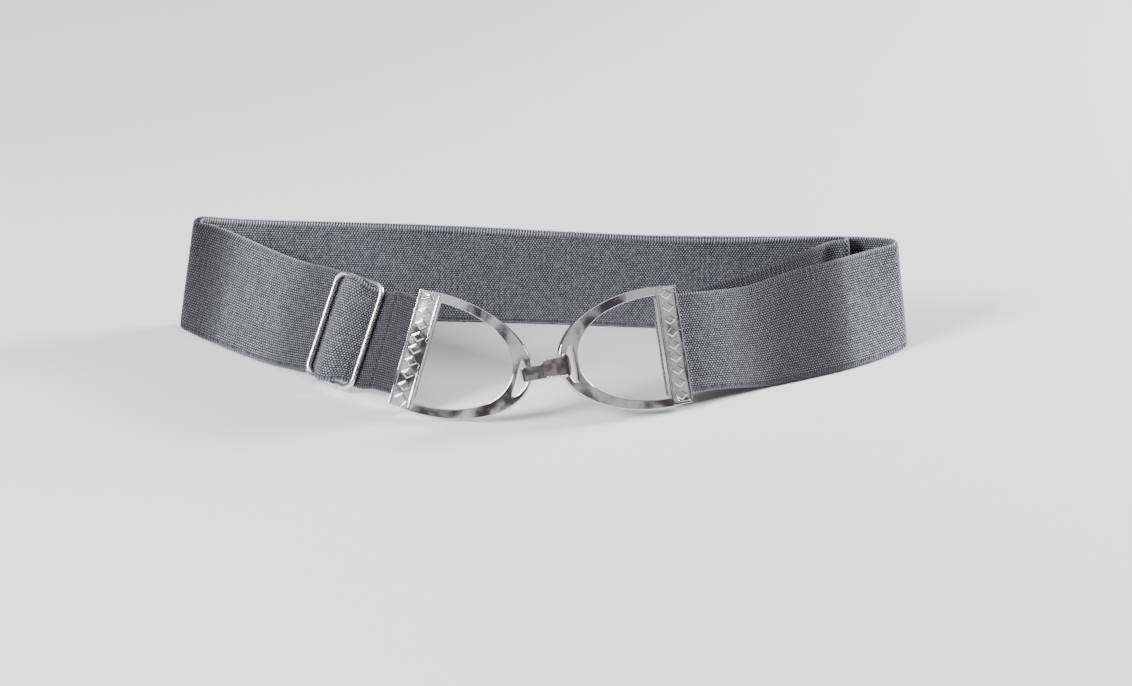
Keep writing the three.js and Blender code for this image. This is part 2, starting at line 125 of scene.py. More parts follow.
RIGHT_FOLD = {"foot": (112.4, -2.2), "foot_radius": 4.6, "top": (109.8, 2.6), "top_radius": 3.0,
              "from": 62, "to": -46, "steps": 6, "lift": 0, "width": 37.1}
INNER_TURN = {"foot": (95.6, 0.6), "foot_radius": 2.8, "top": (94, 2.6), "top_radius": 2.1,
              "from": -44, "to": 86, "steps": 6, "lift": 1, "width": 36.9}

# Sections in the hardware's own frames: distance along, out of it, width and rise
SEWN_END = (
    (-17.8, -2.1, CLASP_WEB_WIDTH, 0),
    (-13, -1.1, CLASP_WEB_WIDTH, 0),
    (-8.2, -0.55, CLASP_WEB_WIDTH, 0),
    (-4.2, -1.5, CLASP_WEB_WIDTH, 0),
)
SEAM_RUN = (
    (-7, 1.65, CLASP_WEB_WIDTH, 0),
    (-13, 1.15, 33.9, 0),
)
SLIDER_PASS = (
    (12.6, BEHIND_WIRE, 34, 0),
    (10.4, BEHIND_WIRE, 33.8, 0),
    (8.4, BEHIND_WIRE + 0.15, SLIDER_WEB_WIDTH, 0),
    (5.7, 0.8, SLIDER_WEB_WIDTH, 0),
    (4.3, 2.3, 34.8, 0),
    (2.7, 3.6, 36.8, 0),
    (0, 4.05, 37.6, 0),
    (-2.9, 3.2, 36.6, 0),
    (-4.3, 2.1, 34.8, 0),
    (-5.7, 0.8, SLIDER_WEB_WIDTH, 0),
    (-8.4, BEHIND_WIRE + 0.15, 33.8, 0),
    (-10.4, BEHIND_WIRE, 35.2, 0),
    (-13.5, BEHIND_WIRE, 36.4, 0),
)
RIGHT_PULL = (
    (18, PIN_WRAP, 33.2, -0.8),
    (8, PIN_WRAP, CLASP_WEB_WIDTH, -0.2),
)
RIGHT_RETURN = ((9, -1.9, CLASP_WEB_WIDTH, 0),)
SLIDER_END = (
    (-13.5, -4.15, 36, 0),
    (-9.6, -4.1, 33.8, 0),
    (-6.4, -2.7, SLIDER_WEB_WIDTH, 0),
)
SLIDER_TAIL = (
    (-3.4, -4.5, SLIDER_WEB_WIDTH, 0),
    (-8.4, -6.1, 34, 0),
    (-13, -6.3, 34, 0),
    (-17, -6.3, 34, 0),
)

# Half the webbing's section: share of its half width and of its half thickness
WEB_PROFILE = ((1.0, 0.0), (0.992, 0.5), (0.97, 0.78), (0.93, 0.93), (0.84, 1.0), (0.45, 1.0), (0.0, 1.0))

# Painted light and shade along the webbing's length, standing in for how the light falls on it: painted
# shade by the clasp seam, past the slider, at the left fold, on the right front and inside the right loop,
# painted light at the right fold; distance from its sewn end in metres, and share of its colour
PAINTED_LIGHT_AND_SHADE = (
    (0.0, 0.24), (0.046, 0.24), (0.052, 1.0), (0.066, 1.0), (0.074, 0.5), (0.086, 0.58), (0.102, 0.97),
    (0.118, 0.8), (0.132, 0.18), (0.15, 0.5), (0.2, 0.9), (0.38, 1.25), (0.403, 1.5), (0.418, 0.6),
    (0.432, 0.2), (0.447, 0.34), (0.458, 0.6), (0.47, 0.95), (0.486, 1.1), (0.497, 0.2), (0.54, 0.12),
    (0.557, 0.25), (0.572, 1.0), (0.6, 0.95), (0.7, 0.95), (0.78, 1.4), (0.86, 0.9),
)
# The brightest share in the painted light and shade table; the curve holds shares of it
BRIGHTEST_PAINTED_LIGHT = 1.5

# Where the seams cross the webbing: distance along from the pin or the slider, and out of the two layers
CLASP_SEAM_ALONG, CLASP_SEAM_FRONT, CLASP_SEAM_END = -13.8, 1.05, -1.25
SLIDER_SEAM_ALONG, SLIDER_SEAM_FRONT, SLIDER_SEAM_END = -11.5, -4.15, -6.3

# The share of a quarter circle's radius at which its curve's handles stand
ROUND_SHARE = 0.5523

# Lights: azimuth from the camera's side and elevation in degrees, distance and size in metres, and watts
LIGHTS = {
    "key_light": (-52, 32, 1.3, 0.42, 32),
    "side_light": (112, 22, 1.1, 0.4, 30),
    "top_light": (10, 86, 1.5, 1.2, 8),
    "left_strip": (-33, 30, 1.3, 0.3, 0.26),
    "right_strip": (49, 25, 1.2, 0.32, 0.22),
    "front_strip": (-8, 26, 1.3, 0.2, 0.045),
}


class StrapFrame:
    """Axes where a strap or a casting stands: along it, up its width and out of its face."""

    def __init__(self, origin, along, up):
        self.origin = origin
        self.along = along
        self.up = up
        self.out = along.cross(up)

    def at(self, along, up, out):
        return self.origin + self.along * along + self.up * up + self.out * out

    def turned(self, degrees):
        turn = Matrix.Rotation(math.radians(degrees), 3, self.up)
        return StrapFrame(self.origin.copy(), turn @ self.along, self.up.copy())

    def moved_to(self, origin):
        return StrapFrame(origin, self.along.copy(), self.up.copy())

    def matrix(self):
        """From a piece drawn in metres on this frame's axes to the belt's frame."""
        columns = Matrix((self.along, self.up, self.out)).transposed().to_4x4()
        columns.translation = (self.origin + ROUTE_SHIFT) * MM
        return columns


def standing_frame(name):
    station = STATIONS[name]
    plan = math.radians(station["plan"])
    lean = math.radians(station["lean"])
    along = Vector((math.cos(plan), -math.sin(plan), 0))
    up = Vector((math.sin(plan) * math.sin(lean), math.cos(plan) * math.sin(lean), math.cos(lean)))
    return StrapFrame(Vector(station["point"]), along, up)


LEFT_STRAP = standing_frame("left_bar")
RIGHT_STRAP = standing_frame("right_bar")
SLIDER_FRAME = standing_frame("slider")
LEFT_HALF = LEFT_STRAP.turned(LEFT_HALF_TURN)
RIGHT_FACING = RIGHT_STRAP.turned(RIGHT_HALF_TURN)
RIGHT_HALF = StrapFrame(RIGHT_FACING.origin, -RIGHT_FACING.along, -RIGHT_FACING.up)
LEFT_PIN = LEFT_STRAP.moved_to(LEFT_HALF.at(PIN_INSET, 0, -PIN_DROP))
RIGHT_PIN = RIGHT_STRAP.moved_to(RIGHT_HALF.at(PIN_INSET, 0, -PIN_DROP))


# The webbing's route: pairs of points on its lower and its upper edge
def standing_row(x, y, shift_x, shift_y, lift, width):
    rise = math.sqrt(width * width - shift_x * shift_x - shift_y * shift_y)
    return Vector((x, y, lift)), Vector((x + shift_x, y + shift_y, lift + rise))


def fold_rows(fold):
    rows = []
    for i in range(fold["steps"] + 1):
        turn = math.radians(fold["from"] + (fold["to"] - fold["from"]) * i / fold["steps"])
        ray = Vector((math.cos(turn), math.sin(turn)))
        foot = Vector(fold["foot"]) + ray * fold["foot_radius"]
        shift = Vector(fold["top"]) + ray * fold["top_radius"] - foot
        rows.append(standing_row(*foot, *shift, fold["lift"], fold["width"]))
    return rows


def local_rows(strap, table):
    return [(strap.at(along, rise - width / 2, out), strap.at(along, rise + width / 2, out))
            for along, out, width, rise in table]


def wrap_rows(strap, radius, start, end, width):
    turns = [math.radians(start + (end - start) * i / WRAP_STEPS) for i in range(WRAP_STEPS + 1)]
    return local_rows(strap, [(radius * math.cos(t), radius * math.sin(t), width, 0) for t in turns])


def rail_point(points, span, share):
    """A point of the centripetal curve through the points, at a share of one of its spans."""
    p1 = points[span]
    p2 = points[span + 1]
    p0 = points[span - 1] if span > 0 else p1 * 2 - p2
    p3 = points[span + 2] if span + 2 < len(points) else p2 * 2 - p1
    d0 = math.sqrt((p1 - p0).length)
    d1 = math.sqrt((p2 - p1).length)
    d2 = math.sqrt((p3 - p2).length)
    leave = ((p1 - p0) / d0 - (p2 - p0) / (d0 + d1) + (p2 - p1) / d1) * d1
    arrive = ((p2 - p1) / d1 - (p3 - p1) / (d1 + d2) + (p3 - p2) / d2) * d1
    square = (p2 - p1) * 3 - leave * 2 - arrive
    cube = (p1 - p2) * 2 + leave + arrive
    return p1 + leave * share + square * share ** 2 + cube * share ** 3


def threaded(rows, step):
    """Sections no further apart than the step, and the number of each row's own section."""
    lows = [row[0] for row in rows]
    highs = [row[1] for row in rows]
    sections = []
    places = []
    for i in range(len(rows) - 1):
        reach = max((lows[i + 1] - lows[i]).length, (highs[i + 1] - highs[i]).length)
        count = math.ceil(reach / step)
        places.append(len(sections))
        sections += [(rail_point(lows, i, k / count), rail_point(highs, i, k / count)) for k in range(count)]
    places.append(len(sections))
    sections.append(rows[-1])
    return sections, places


def neighbours(rows, i):
    return rows[max(i - 1, 0)], rows[min(i + 1, len(rows) - 1)]


def face_out(sections, i):
    """The webbing's outward direction at one of its sections."""
    before, after = neighbours(sections, i)
    travel = after[0] + after[1] - before[0] - before[1]
    return (sections[i][1] - sections[i][0]).cross(travel).normalized()


def moved_row(row, direction, distance):
    low = row[0] + direction * distance
    low.z = row[0].z
    return low, row[1] + direction * distance


def webbing_sections():
    """Both rounds of the webbing: sewn end to right clasp half, then back inside to the slider."""
    coarse_step = 5.0
    first = local_rows(LEFT_PIN, SEWN_END) + wrap_rows(LEFT_PIN, PIN_WRAP, -90, 90, CLASP_WEB_WIDTH)
    first += local_rows(LEFT_PIN, SEAM_RUN) + local_rows(SLIDER_FRAME, SLIDER_PASS)
    front_start = len(first)
    first += [standing_row(*row) for row in FRONT_LEFT] + fold_rows(LEFT_FOLD)
    first += [standing_row(*row) for row in BACK]
    back_end = len(first) - 3
    first += fold_rows(RIGHT_FOLD) + [standing_row(*row) for row in FRONT_RIGHT]
    first += local_rows(RIGHT_PIN, RIGHT_PULL)
    sections, places = threaded(first, coarse_step)

    second = wrap_rows(RIGHT_PIN, PIN_WRAP, 90, 270, CLASP_WEB_WIDTH) + local_rows(RIGHT_PIN, RIGHT_RETURN)
    second += [standing_row(*row) for row in INNER_RIGHT] + fold_rows(INNER_TURN)
    for i in range(back_end, front_start - 1, -1):
        second.append(moved_row(first[i], face_out(sections, places[i]), -(WEB_THICKNESS + LAYER_GAP)))
    second += local_rows(SLIDER_FRAME, SLIDER_END)
    second += wrap_rows(SLIDER_FRAME, SLIDER_WRAP, 196, -62, SLIDER_WEB_WIDTH)
    second += local_rows(SLIDER_FRAME, SLIDER_TAIL)
    return threaded(first + second, SECTION_STEP)[0]


SECTIONS = webbing_sections()


def run_lengths(sections):
    """The length of webbing from its sewn end to each section, in millimetres."""
    lengths = [0.0]
    for before, after in zip(sections, sections[1:]):
        lengths.append(lengths[-1] + (after[0] + after[1] - before[0] - before[1]).length / 2)
    return lengths


LENGTHS = run_lengths(SECTIONS)
WEB_LENGTH = LENGTHS[-1] * MM


def nearest_section(point, first, last):
    """The number of the section whose middle lies nearest a point, between two shares of the length."""
    low = int(first * len(SECTIONS))
    high = int(last * len(SECTIONS))
    return min(range(low, high), key=lambda i: ((SECTIONS[i][0] + SECTIONS[i][1]) / 2 - point).length)


# Where two layers are sewn together: the front layer's and the end layer's section
SEAMS = {
    "seam_clasp": (
        nearest_section(LEFT_PIN.at(CLASP_SEAM_ALONG, 0, CLASP_SEAM_FRONT), 0.01, 0.06),
        nearest_section(LEFT_PIN.at(CLASP_SEAM_ALONG, 0, CLASP_SEAM_END), 0, 0.012),
    ),
    "seam_slider": (
        nearest_section(SLIDER_FRAME.at(SLIDER_SEAM_ALONG, 0, SLIDER_SEAM_FRONT), 0.9, 0.985),
        nearest_section(SLIDER_FRAME.at(SLIDER_SEAM_ALONG, 0, SLIDER_SEAM_END), 0.985, 1),
    ),
}


class BELT_PG_webbing(PropertyGroup):
    """Sizes and colours of the webbing."""

    picot_depth: FloatProperty(
        name="Picot Depth", description="How far the loops of the selvedge stand out",
        default=0.0005, unit="LENGTH")
    seam_groove: FloatProperty(
        name="Seam Groove", description="Share of the thickness that a seam pulls in", default=0.4,
        subtype="FACTOR", min=0, max=1)
    ripple: FloatProperty(
        name="Ripple", description="Height of the slow waves that wear leaves in the webbing",
        default=0.00014, unit="LENGTH")
    yarn: FloatVectorProperty(
        name="Yarn", description="Colour of the raised yarns", default=(0.355, 0.346, 0.426),
        subtype="COLOR", size=3)
    ground: FloatVectorProperty(
        name="Ground", description="Colour between the yarns", default=(0.012, 0.0115, 0.018),
        subtype="COLOR", size=3)


class BELT_PG_hardware(PropertyGroup):
    """Sizes of the clasp and the link."""

    bar_length: FloatProperty(
        name="Bar Length", description="Length of a clasp half's bar", default=0.0392, unit="LENGTH")
    bar_width: FloatProperty(
        name="Bar Width", description="Width of a clasp half's bar", default=0.0075, unit="LENGTH")
    edge_radius: FloatProperty(
        name="Edge Radius", description="Rounding along the castings' edges", default=0.0003, unit="LENGTH")
    lozenges: IntProperty(
        name="Lozenges", description="Raised lozenges in each bar's panel", default=9, min=1)
    bead_radius: FloatProperty(
        name="Bead Radius", description="Radius of the beads along the link's edges",
        default=0.0005, unit="LENGTH")


class BELT_PG_stitching(PropertyGroup):
    """Sizes of the seams' stitches."""

    thread_radius: FloatProperty(
        name="Thread Radius", description="Radius of the sewing thread", default=0.00026, unit="LENGTH")
    stitch_length: FloatProperty(
        name="Stitch Length", description="Length of one stitch", default=0.0021, unit="LENGTH")
    stitch_gap: FloatProperty(
        name="Stitch Gap", description="Gap between two stitches", default=0.0007, unit="LENGTH")


class Graph:
    """Adds nodes to a node tree; each input takes a value or another node's output."""

    def __init__(self, tree):
        self.tree = tree

    def node(self, kind, inputs=None, **settings):
        node = self.tree.nodes.new(kind)
        for name, value in settings.items():
            setattr(node, name, value)
        self.fill(node.inputs, inputs or {})
        return node

    def fill(self, sockets, values):
        for key, value in values.items():
            self.feed(sockets[key], value)

    def feed(self, socket, value):
        if isinstance(value, bpy.types.NodeSocket):
            self.tree.links.new(value, socket)
        else:
            socket.default_value = value

    def math(self, operation, *values, clamp=False):
        node = self.node("ShaderNodeMath", dict(enumerate(values)), operation=operation, use_clamp=clamp)
        return node.outputs[0]

    def times(self, *values):
        return self.math("MULTIPLY", *values)

    def blend(self, factor, low, high):
        """A value between two values."""
        node = self.node("ShaderNodeMix", {0: factor, 2: low, 3: high}, data_type="FLOAT")
        return node.outputs[0]

    def tint(self, factor, low, high, blend_type="MIX"):
        """A colour between two colours."""
        node = self.node("ShaderNodeMix", {0: factor, 6: low, 7: high}, data_type="RGBA",
                         blend_type=blend_type)
        return node.outputs[2]

    def ramp(self, value, low, high):
        """0 below the low limit, 1 above the high one."""
        node = self.node("ShaderNodeMapRange", {"Value": value, "From Min": low, "From Max": high},
                         interpolation_type="SMOOTHSTEP")
        return node.outputs["Result"]

    def noise(self, vector, scale, detail, roughness):
        node = self.node("ShaderNodeTexNoise", {"Vector": vector, "Scale": scale, "Detail": detail,
                                                "Roughness": roughness})
        return node.outputs["Fac"]

    def group(self, group, inputs):
        return self.node("ShaderNodeGroup", inputs, node_tree=group).outputs


def new_group(name, inputs, outputs):
    """A shader node group with named inputs (name and kind) and named values as outputs."""
    group = bpy.data.node_groups.new(name, "ShaderNodeTree")
    for label, kind in inputs:
        group.interface.new_socket(label, in_out="INPUT", socket_type=kind)
    for label in outputs:
        group.interface.new_socket(label, in_out="OUTPUT", socket_type="NodeSocketFloat")
    graph = Graph(group)
    entry = graph.node("NodeGroupInput").outputs
    leave = graph.node("NodeGroupOutput").inputs
    return group, graph, entry, leave


def weave_group():
    """Raised yarns in offset rows, with steep diagonals in a band along each edge."""
    group, g, entry, leave = new_group(
        "Elastic Weave",
        (("UV", "NodeSocketVector"), ("Along Pitch", "NodeSocketFloat"), ("Row Pitch", "NodeSocketFloat"),
         ("Band Start", "NodeSocketFloat")),
        ("Yarn", "Chance"))
    dot_falloff, stripe_slope, contrast = 4.6, 0.42, 1.6
    split = g.node("ShaderNodeSeparateXYZ", {0: entry["UV"]}).outputs
    along = g.math("DIVIDE", split["X"], entry["Along Pitch"])
    rows = g.math("DIVIDE", split["Y"], entry["Row Pitch"])
    row = g.math("FLOOR", rows)
    off_middle = g.math("ABSOLUTE", split["Y"])
    band = g.math("GREATER_THAN", off_middle, entry["Band Start"])
    side = g.math("SIGN", split["Y"])
    slant = g.blend(band, 0.5, g.times(side, 0.25))
    cell = g.math("ADD", along, g.times(row, slant))
    a = g.math("SUBTRACT", g.math("FRACT", cell), 0.5)
    b = g.math("SUBTRACT", g.math("FRACT", rows), 0.5)
    far = g.math("ADD", g.times(a, a), g.times(b, b))
    dots = g.math("SUBTRACT", 1.0, g.times(far, dot_falloff), clamp=True)
    slope = g.times(rows, g.times(side, stripe_slope))
    phase = g.times(g.math("ADD", along, slope), math.tau)
    stripes = g.math("ADD", g.times(g.math("SINE", phase), 0.5), 0.5)
    streaks = g.times(stripes, g.math("ADD", 0.35, g.times(dots, 0.65)))
    place = g.node("ShaderNodeCombineXYZ", {0: g.math("FLOOR", cell), 1: row}).outputs[0]
    g.fill(leave, {"Yarn": g.math("POWER", g.blend(band, dots, streaks), contrast),
                   "Chance": g.node("ShaderNodeTexWhiteNoise", {"Vector": place}).outputs["Value"]})
    return group


def polish_group():
    """Polished metal's slow undulation, fine scratches and smudges."""
    group, g, entry, leave = new_group(
        "Worn Polish",
        (("Vector", "NodeSocketVector"), ("Wave Scale", "NodeSocketFloat")),
        ("Wave", "Smudge", "Scratch"))
    smudge_scale, scratch_scale = 260.0, 3600.0
    wave = g.noise(entry["Vector"], entry["Wave Scale"], 1.0, 0.4)
    smudge = g.noise(entry["Vector"], smudge_scale, 4.0, 0.62)
    stretch = g.node("ShaderNodeMapping", {"Vector": entry["Vector"], "Rotation": (0.3, 0.5, 0.7),
                                           "Scale": (1.0, 0.06, 0.4)})
    lines = g.noise(stretch.outputs[0], scratch_scale, 2.0, 0.6)
    g.fill(leave, {"Wave": wave, "Smudge": g.ramp(smudge, 0.42, 0.72), "Scratch": g.ramp(lines, 0.6, 0.78)})
    return group


def dust_group():
    """Fine lint that lies on upward faces."""
    group, g, entry, leave = new_group(
        "Lint",
        (("Vector", "NodeSocketVector"), ("Scale", "NodeSocketFloat"), ("Amount", "NodeSocketFloat")),
        ("Mask",))
    spots = g.ramp(g.noise(entry["Vector"], entry["Scale"], 3.0, 0.7), 0.66, 0.8)
    normal = g.node("ShaderNodeNewGeometry").outputs["Normal"]
    up = g.node("ShaderNodeSeparateXYZ", {0: normal}).outputs["Z"]
    upward = g.ramp(up, -0.4, 1.0)
    g.feed(leave["Mask"], g.times(spots, g.times(upward, entry["Amount"])))
    return group


def shared_group(name, maker):
    return bpy.data.node_groups.get(name) or maker()


def new_material(name):
    """A material with its node graph, its shader's inputs and its place on the piece."""
    material = bpy.data.materials.new(name)
    material.use_nodes = True
    material.node_tree.nodes.clear()
    graph = Graph(material.node_tree)
    shader = graph.node("ShaderNodeBsdfPrincipled")
    output = graph.node("ShaderNodeOutputMaterial")
    material.node_tree.links.new(shader.outputs[0], output.inputs[0])
    return material, graph, shader.inputs, graph.node("ShaderNodeTexCoord").outputs["Object"]


def webbing_material(sizes):
    material, g, surface, place = new_material("Slate Elastic Webbing")
    uv = g.node("ShaderNodeUVMap", uv_map="Webbing").outputs[0]
    weave = g.group(shared_group("Elastic Weave", weave_group),
                    {"UV": uv, "Along Pitch": 0.00096, "Row Pitch": 0.00084, "Band Start": 0.0165})
    ground = (*sizes.ground, 1)
    yarn = (*sizes.yarn, 1)
    lift = g.math("ADD", weave["Yarn"], g.times(g.math("SUBTRACT", weave["Chance"], 0.5), 0.25),
                  clamp=True)
    colour = g.tint(lift, ground, yarn)
    slow = g.noise(place, 34.0, 3.0, 0.55)
    colour = g.tint(g.ramp(slow, 0.35, 0.7), colour, (0.86, 0.87, 0.84, 1), "MULTIPLY")
    split = g.node("ShaderNodeSeparateXYZ", {0: uv}).outputs
    selvedge = g.ramp(g.math("ABSOLUTE", split["Y"]), 0.0174, 0.018)
    picots = g.math("COSINE", g.times(split["X"], math.tau / (PICOT_PITCH * MM)))
    between = (0.045, 0.044, 0.056, 1)
    colour = g.tint(selvedge, colour, g.tint(g.ramp(picots, -0.2, 0.9), between, (0.3, 0.295, 0.345, 1)))
    # Painted light and shade: the webbing's colour is scaled along its length by the painted light and shade
    # table
    painted_light_curve = g.node("ShaderNodeFloatCurve", {"Value": g.math("DIVIDE", split["X"], WEB_LENGTH)})
    points = painted_light_curve.mapping.curves[0].points
    for length, share in PAINTED_LIGHT_AND_SHADE[1:-1]:
        points.new(length / WEB_LENGTH, share / BRIGHTEST_PAINTED_LIGHT)
    points[0].location = (0, PAINTED_LIGHT_AND_SHADE[0][1] / BRIGHTEST_PAINTED_LIGHT)
    points[-1].location = (1, PAINTED_LIGHT_AND_SHADE[-1][1] / BRIGHTEST_PAINTED_LIGHT)
    painted_light_curve.mapping.update()
    share = g.times(painted_light_curve.outputs[0], BRIGHTEST_PAINTED_LIGHT)
    colour = g.tint(1.0, colour, g.node("ShaderNodeCombineXYZ", {0: share, 1: share, 2: share}).outputs[0],
                    "MULTIPLY")
    lint = g.group(shared_group("Lint", dust_group), {"Vector": place, "Scale": 2200.0, "Amount": 0.35})
    colour = g.tint(lint["Mask"], colour, (0.55, 0.55, 0.57, 1))
    rib_pitch = 0.0021
    rib_phase = g.times(split["X"], math.tau / rib_pitch)
    rib_mask = g.ramp(g.noise(place, 60.0, 2.0, 0.5), 0.45, 0.68)
    ribs = g.times(g.math("SINE", rib_phase), g.times(rib_mask, 0.4))
    bump = g.node("ShaderNodeBump", {"Strength": 0.85, "Distance": 0.00028,
                                     "Height": g.math("ADD", weave["Yarn"], ribs)})
    g.fill(surface, {"Base Color": colour, "Roughness": g.blend(weave["Yarn"], 0.95, 0.68),
                     "Normal": bump.outputs[0], "Sheen Weight": 0.25, "Sheen Roughness": 0.4,
                     "Sheen Tint": (0.86, 0.86, 0.95, 1)})
    return material


def metal_material(name, colour, low_roughness, high_roughness, wave_scale, wave_height):
    material, g, surface, place = new_material(name)
    polish = g.group(shared_group("Worn Polish", polish_group), {"Vector": place, "Wave Scale": wave_scale})
    dull = tuple(0.8 * c for c in colour) + (1,)
    rough = g.blend(polish["Smudge"], low_roughness, high_roughness)
    waves = g.node("ShaderNodeBump", {"Strength": 1.0, "Distance": wave_height, "Height": polish["Wave"]})
    cuts = g.node("ShaderNodeBump", {"Strength": 0.1, "Distance": 0.000004, "Height": polish["Scratch"],
                                     "Normal": waves.outputs[0]}, invert=True)
    g.fill(surface, {"Base Color": g.tint(g.times(polish["Smudge"], 0.5), (*colour, 1), dull),
                     "Roughness": g.math("ADD", rough, g.times(polish["Scratch"], 0.05)),
                     "Metallic": 1.0, "Normal": cuts.outputs[0]})
    return material


def thread_material():
    material, g, surface, place = new_material("Charcoal Thread")
    strands = g.node("ShaderNodeTexWave", {"Vector": place, "Scale": 900.0, "Distortion": 2.0},
                     bands_direction="DIAGONAL").outputs["Fac"]
    bump = g.node("ShaderNodeBump", {"Strength": 0.7, "Distance": 0.0001, "Height": strands})
    g.fill(surface, {"Base Color": g.tint(strands, (0.008, 0.008, 0.012, 1), (0.03, 0.03, 0.038, 1)),
                     "Normal": bump.outputs[0], "Roughness": 0.7})
    return material


def floor_material():
    material, g, surface, place = new_material("Pale Floor")
    grain = g.noise(place, 6.0, 3.0, 0.5)
    g.fill(surface, {"Base Color": g.tint(grain, (0.84, 0.84, 0.845, 1), (0.87, 0.87, 0.87, 1)),
                     "Roughness": 0.75})
    return material


def deselect_all():
    if bpy.context.object and bpy.context.object.mode != "OBJECT":
        bpy.ops.object.mode_set(mode="OBJECT")
    bpy.ops.object.select_all(action="DESELECT")


def make_active(piece):
    deselect_all()
    piece.select_set(True)
    bpy.context.view_layer.objects.active = piece


def start_edit(piece, kind="FACE"):
    make_active(piece)
    bpy.ops.object.mode_set(mode="EDIT")
    bpy.ops.mesh.select_mode(type=kind)
    bpy.ops.mesh.select_all(action="SELECT")


def stop_edit():
    bpy.ops.object.mode_set(mode="OBJECT")


def select_faces(piece, test):
    """In edit mode, selects the faces that pass the test and nothing else."""
    mesh = bmesh.from_edit_mesh(piece.data)
    for face in mesh.faces:
        face.select_set(False)
    for face in mesh.faces:
        if test(face):
            face.select_set(True)
    mesh.select_flush_mode()
    bmesh.update_edit_mesh(piece.data)


def add_modifier(piece, kind, **settings):
    """Adds a modifier with its settings and applies it."""
    modifier = piece.modifiers.new(kind.title(), kind)
    for name, value in settings.items():
        setattr(modifier, name, value)
    make_active(piece)
    bpy.ops.object.modifier_apply(modifier=modifier.name)


def bevel(piece, width, degrees, segments=3):
    """Rounds the edges that turn by more than an angle."""
    add_modifier(piece, "BEVEL", width=width, segments=segments, limit_method="ANGLE",
                 angle_limit=math.radians(degrees))


def smooth(piece, degrees):
    make_active(piece)
    bpy.ops.object.shade_smooth_by_angle(angle=math.radians(degrees))


def solid_volume(piece):
    mesh = bmesh.new()
    mesh.from_mesh(piece.data)
    volume = mesh.calc_volume()
    mesh.free()
    return volume


def unite(piece, other):
    """Makes one closed solid of two and removes the second."""
    least = max(solid_volume(piece), solid_volume(other))
    add_modifier(piece, "BOOLEAN", operation="UNION", object=other, solver="EXACT")
    bpy.data.objects.remove(other)
    if solid_volume(piece) < least:
        raise RuntimeError("A union lost part of its solids")


def placed(add_primitive, **settings):
    """A primitive whose place, turn and size are applied to its mesh."""
    deselect_all()
    add_primitive(**settings)
    piece = bpy.context.object
    make_active(piece)
    bpy.ops.object.transform_apply(location=True, rotation=True, scale=True)
    return piece


def added(name, data):
    """A new object with the data, in the scene."""
    piece = bpy.data.objects.new(name, data)
    bpy.context.collection.objects.link(piece)
    return piece


def copied(piece, matrix):
    """A copy with its own mesh, placed in its mesh by the matrix."""
    twin = piece.copy()
    twin.data = piece.data.copy()
    bpy.context.collection.objects.link(twin)
    twin.data.transform(matrix)
    return twin


def joined(pieces):
    deselect_all()
    for piece in pieces:
        piece.select_set(True)
    bpy.context.view_layer.objects.active = pieces[0]
    bpy.ops.object.join()
    return bpy.context.object


def finish_piece(piece, name, material, nodes=()):
    """Names a piece, gives it its one material and lets it ride with the belt."""
    piece.name = name
    piece.data.name = name
    piece.data.materials.clear()
    piece.data.materials.append(material)
    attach(piece, BODY)
    if nodes:
        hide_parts(*nodes)


def build_webbing(sizes):
    """The webbing's wall: a ring of points for each section, with picots along both selvedges."""
    profile = [(share, 1, thick) for share, thick in WEB_PROFILE]
    front = profile + [(-share, 1, thick) for share, _, thick in profile[-2::-1]]
    back = [(share, -1, thick) for share, _, thick in front[-2:0:-1]]
    ring = front + back
    picot = sizes.picot_depth / MM
    ripple = sizes.ripple / MM
    seam_reach, selvedge, lowest_part = 0.55, 0.9, 0.85
    wave_rate, slow_rate, cross_rate, slow_place = 0.045, 0.05, 1.4, 7.0
    seam_lengths = [LENGTHS[i] for pair in SEAMS.values() for i in pair]
    points = []
    uvs = []
    for i, (low, high) in enumerate(SECTIONS):
        out = face_out(SECTIONS, i)
        length = LENGTHS[i]
        middle = (low + high) / 2
        reach = (high - low) / 2
        loop = (0.5 - 0.5 * math.cos(math.tau * length / PICOT_PITCH)) * picot / reach.length
        wave = noise.noise(Vector((length * wave_rate, 0, 0))) * ripple
        pinch = max(math.exp(-((length - seam) / seam_reach) ** 2) for seam in seam_lengths)
        half = WEB_THICKNESS / 2 * (1 - sizes.seam_groove * pinch)
        for share, side, thick in ring:
            edge = max(0.0, (abs(share) - selvedge) / (1 - selvedge))
            width_share = share * (1 - loop * edge)
            slow = noise.noise(Vector((length * slow_rate, share * cross_rate, slow_place))) * ripple
            point = middle + reach * width_share + out * (side * half * thick + wave * 0.5 + slow * 0.5)
            if share < -lowest_part:
                point.z = max(point.z, low.z)
            points.append((point + ROUTE_SHIFT) * MM)
            uvs.append((length * MM, share * FULL_WEB_WIDTH / 2 * MM))
    count = len(ring)
    faces = []
    for r in range(len(SECTIONS) - 1):
        for k in range(count):
            n = (k + 1) % count
            faces.append((r * count + k, (r + 1) * count + k, (r + 1) * count + n, r * count + n))
    last = (len(SECTIONS) - 1) * count
    faces.append(tuple(range(count)))
    faces.append(tuple(last + k for k in reversed(range(count))))
    mesh = bpy.data.meshes.new("webbing_strap")
    mesh.from_pydata(points, [], faces)
    layer = mesh.uv_layers.new(name="Webbing")
    for loop in mesh.loops:
        layer.data[loop.index].uv = uvs[loop.vertex_index]
    piece = added("webbing_strap", mesh)
    start_edit(piece)
    bpy.ops.mesh.normals_make_consistent(inside=False)
    stop_edit()
    smooth(piece, 60)
    return piece


def bezier_outline(curve, table):
    """One closed outline: each row is a point and the offsets of its two handles, in millimetres."""
    spline = curve.splines.new("BEZIER")
    spline.bezier_points.add(len(table) - 1)
    spline.use_cyclic_u = True
    for knot, (u, v, before_u, before_v, after_u, after_v) in zip(spline.bezier_points, table):
        knot.handle_left_type = "FREE"
        knot.handle_right_type = "FREE"
        knot.co = Vector((u, v, 0)) * MM
        knot.handle_left = Vector((u + before_u, v + before_v, 0)) * MM
        knot.handle_right = Vector((u + after_u, v + after_v, 0)) * MM


